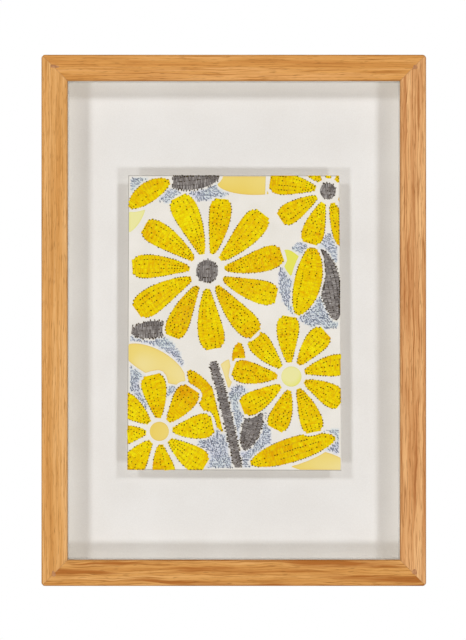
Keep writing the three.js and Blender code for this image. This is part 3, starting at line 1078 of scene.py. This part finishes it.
def ground_slab(triangles):
    """A closed slab over triangles: a front, a back, and a wall along each open edge."""
    plan, index = np.unique(triangles.reshape(-1, 2).round(3), axis=0, return_inverse=True)
    index = index.reshape(-1, 3)
    a, b, c = plan[index[:, 0]], plan[index[:, 1]], plan[index[:, 2]]
    turned = (b[:, 0] - a[:, 0]) * (c[:, 1] - a[:, 1]) - (b[:, 1] - a[:, 1]) * (c[:, 0] - a[:, 0])
    index[turned < 0] = index[turned < 0][:, ::-1]
    count = len(plan)
    edges = {(int(t[i]), int(t[(i + 1) % 3])) for t in index for i in range(3)}
    rim = [(i, j) for i, j in edges if (j, i) not in edges]
    walls = [[i, i + count, j + count, j] for i, j in sorted(rim)]
    faces = index.tolist() + (index[:, ::-1] + count).tolist() + walls
    points = np.concatenate([on_paper(plan, GROUND_HEIGHT), on_paper(plan, -PAINT_HEIGHT)])
    return points, faces


# Each ground is darker than its thread: painted shade between the strands.
SHADED_GROUNDS = {"yellow": ("#d8a902", "#e8c006"), "grey": ("#4f4a46", "#78726d")}
for colour, triangles in ground_parts().items():
    points, faces = ground_slab(triangles)
    finish = mottled(f"shaded_thread_ground_{colour}", *SHADED_GROUNDS[colour], THREAD_SPECK, roughness=0.9)
    mesh_piece(f"ground_{colour}", points, faces, finish, f"{colour}_thread")

# %% [markdown]
# ## Stitch the fields
# Every yellow stitch becomes four strands that lie side by side, and every grey one a single one.
# Each petal and leaf gets its own tone, as a new length of thread does.

# %% Stitch the petals and leaves
TONE_SPREAD = {"yellow": 0.13, "grey": 0.16}
FIELD_TONE = 0.10
STRANDS_APART = 0.75
# How unlike the strands are in their place beside each other, their radius and their rise.
OFFSET_SHARES = (0.85, 1.15)
RADIUS_SHARES = (0.88, 1.1)
RISE_SHARES = (0.75, 1.25)


def stitch_field(colour, starts, ends):
    """The strands of one field, each as unlike its neighbour as hand work is."""
    hand = HANDS[colour]
    each = hand["strands"]
    field_tone = random.uniform(-FIELD_TONE, FIELD_TONE)
    beside = np.tile(np.arange(each) - (each - 1) / 2, len(starts)) * hand["pitch"] / each
    count = len(beside)
    run = ends - starts
    past = run / lengths(run)[:, None] * hand["past"]
    return strands(
        np.repeat(starts - past, each, axis=0), np.repeat(ends + past, each, axis=0),
        beside * random.uniform(*OFFSET_SHARES, count),
        hand["radius"] * random.uniform(*RADIUS_SHARES, count),
        hand["rise"] * random.uniform(*RISE_SHARES, count),
        np.clip(random.normal(0.5 + field_tone, TONE_SPREAD[colour], count), 0, 1),
        STRANDS_APART,
    )


for name, parts in fields.items():
    colour = parts[0][0]
    points, faces, tones, twists = joined([stitch_field(*part) for part in parts])
    mesh_piece(name, points, faces, THREADS[colour], f"{colour}_thread",
                                    tone=tones, twist=twists)

# %% [markdown]
# ## Fine blue stitches
# The patches of sky blue are made of short single stitches of sewing cotton, scattered in all directions
# over bare paper. They lean together a little, as a hand keeps one slant for a while, and some are slack
# and curve. A jittered grid spaces them, so that they neither pile up nor leave holes.

# %% Scatter the blue stitches
SEED_SPACING = 1.35
SEED_EDGE = 1.9
SEED_LENGTH = (0.9, 2.2)
SEED_RADIUS = 0.36
SEED_RADIUS_SHARES = (0.7, 1.15)
SEED_RISE = 0.1
SEED_RISE_SHARES = (0.6, 1.4)
SEED_CURVE = 0.25
SEED_JITTER = 0.38
SEED_TONE = (0.45, 0.22)
# The slant of the stitches in radians: its middle, how far it sways, and the spread about it.
SLANT = -0.9
SLANT_SWAY = 0.7
SLANT_SPREAD = 0.5
SWAY_LENGTHS = (26.0, 17.0)

grid_x, grid_z = np.meshgrid(
    np.arange(corners[:, 0].min(), corners[:, 0].max(), SEED_SPACING),
    np.arange(corners[:, 1].min(), corners[:, 1].max(), SEED_SPACING),
)
seeds = np.stack([grid_x.ravel(), grid_z.ravel()], axis=-1)
seeds = seeds + random.uniform(-SEED_JITTER, SEED_JITTER, seeds.shape) * SEED_SPACING
seeds = seeds[hatched(seeds, SEED_EDGE)]
sway = np.sin(seeds[:, 0] / SWAY_LENGTHS[0] * 2 * np.pi + seeds[:, 1] / SWAY_LENGTHS[1])
angle = SLANT + SLANT_SWAY * sway + random.normal(0, SLANT_SPREAD, len(seeds))
half = random.uniform(*SEED_LENGTH, len(seeds))[:, None] / 2
lean = np.stack([np.cos(angle), np.sin(angle)], axis=-1)
points, faces, tones, twists = strands(
    seeds - lean * half, seeds + lean * half,
    random.uniform(-SEED_CURVE, SEED_CURVE, len(seeds)),
    SEED_RADIUS * random.uniform(*SEED_RADIUS_SHARES, len(seeds)),
    SEED_RISE * random.uniform(*SEED_RISE_SHARES, len(seeds)),
    np.clip(random.normal(*SEED_TONE, len(seeds)), 0, 1),
)
mesh_piece("blue_stitches", points, faces, THREADS["blue"], "blue_thread",
                                tone=tones, twist=twists)

# %% [markdown]
# ## Needle holes
# A needle leaves a hole in heavy paper that thread doesn't fill, and it reads as a dark dot. Each is a
# small dark funnel. Those between stitches lie among the strands, and those of the outline lie just past
# the end of their stitch. Thread hides some of them, so a share is left out, and more in one part of the
# sheet than in another, as a hand pulls tight for a while.

# %% Prick the needle holes
HOLE_SIDES = 6
HOLE_DEEP = 0.12
HOLE_GRID = 0.05
HOLE_PATCH = 46.0
HOLE_SWAY = 0.28
HOLE_PHASE = 1.0
# The share that shows between stitches and along the outline, the radius from and to, and how long a
# hole of the outline is for its width, where the thread has pulled it.
HOLES = {
    "yellow": {"between": 0.7, "outline": 0.9, "radius": (0.32, 0.5), "pulled": 1.0},
    "grey": {"between": 0.4, "outline": 0.8, "radius": (0.32, 0.48), "pulled": 1.8},
}
HOLE_HEIGHT = {"between": 0.4, "outline": 0.36}
HOLE_BEYOND = 0.12


def holes_of(starts, ends):
    """Each needle hole once, its stitch's direction, and whether it has one stitch. Then it lies past it."""
    out = (ends - starts) / lengths(ends - starts)[:, None]
    places = np.concatenate([starts, ends])
    out = np.concatenate([-out, out])
    _, first, shared = np.unique((places / HOLE_GRID).round().astype(int), axis=0,
                                 return_index=True, return_counts=True)
    alone = (shared == 1)[:, None]
    return places[first] + out[first] * HOLE_BEYOND * alone, out[first], alone[:, 0]


def funnels(places, directions, stretch, heights, radii):
    """Closed dark funnels that open to the front, each longer along its direction by its stretch."""
    count = len(places)
    radius = random.uniform(*radii, count)
    turn = random.uniform(0, 2 * np.pi, count)[:, None] + np.arange(HOLE_SIDES) * 2 * np.pi / HOLE_SIDES
    ring = radius[:, None, None] * np.stack([np.cos(turn), np.sin(turn)], axis=-1)
    lengthwise = np.einsum("ijk,ik->ij", ring, directions)
    ring = ring + (lengthwise * (stretch[:, None] - 1))[..., None] * directions[:, None]
    ring = ring + places[:, None]
    rim = on_paper(ring, heights[:, None])
    pit = on_paper(places, heights - HOLE_DEEP)[:, None]
    under = on_paper(places, heights - 2 * HOLE_DEEP)[:, None]
    points = np.concatenate([rim, pit, under], axis=1)
    base = np.arange(count)[:, None, None] * (HOLE_SIDES + 2)
    i = np.arange(HOLE_SIDES)
    j = np.roll(i, -1)
    front = np.stack([i, j, np.full(HOLE_SIDES, HOLE_SIDES)], axis=-1)
    behind = np.stack([j, i, np.full(HOLE_SIDES, HOLE_SIDES + 1)], axis=-1)
    faces = (base + np.concatenate([front, behind])[None]).reshape(-1, 3)
    return points.reshape(-1, 3), faces.tolist()


def visible_holes(colour, starts, ends):
    """The funnels of one field's holes that thread doesn't hide."""
    look = HOLES[colour]
    places, directions, alone = holes_of(starts, ends)
    turns = places / HOLE_PATCH * 2 * np.pi
    tight = 1 - HOLE_SWAY + HOLE_SWAY * np.sin(turns[:, 0] + HOLE_PHASE) * np.cos(turns[:, 1])
    chance = np.where(alone, look["outline"], look["between"]) * tight
    height = np.where(alone, HOLE_HEIGHT["outline"], HOLE_HEIGHT["between"])
    stretch = np.where(alone, look["pulled"], 1.0)
    kept = random.uniform(0, 1, len(places)) < chance
    return funnels(places[kept], directions[kept], stretch[kept], height[kept], look["radius"])


points, faces = joined([visible_holes(*part) for parts in fields.values() for part in parts])
shade = mottled("needle_hole_in_shade", "#241a08", "#4c3a12", size=2.0, roughness=1.0, reach=0.15,
                specular=0.0)
hole_piece = mesh_piece("needle_holes", points, faces, shade, "stitched_paper", smooth=False)

# %% [markdown]
# The x and z of the four corners of the cut.

x, z = corners[:, 0], corners[:, 1]

# %% [markdown]
# ## The floor
# The frame hangs on a wall that isn't part of it, with its middle at eye level. A pale floor far below is
# all that the room needs, and it lies outside the main view. The lower lamps stand on it in the real
# room, so it throws no shadow here, where their light comes from further off. It sends no light up
# either: the room's own light already comes from below as much as from above.

# %% Lay the floor
FLOOR_LEVEL = -1.5
FLOOR_HALF = 4.0

floor_mesh = bpy.data.meshes.new("floor")
floor_mesh.from_pydata([
    (side * FLOOR_HALF, level * FLOOR_HALF, FLOOR_LEVEL)
    for side, level in ((-1, -1), (1, -1), (1, 1), (-1, 1))
], [], [(0, 1, 2, 3)])
floor_finish = mottled("pale_floor_matt", "#ebe9e6", "#f2f1ee", size=333.3, roughness=0.9, detail=4.0)
floor_mesh.materials.append(floor_finish)
floor = bpy.data.objects.new("floor", floor_mesh)
floor.visible_shadow = False
floor.visible_diffuse = False
scene.collection.objects.link(floor)
print("floor level:", FLOOR_LEVEL)
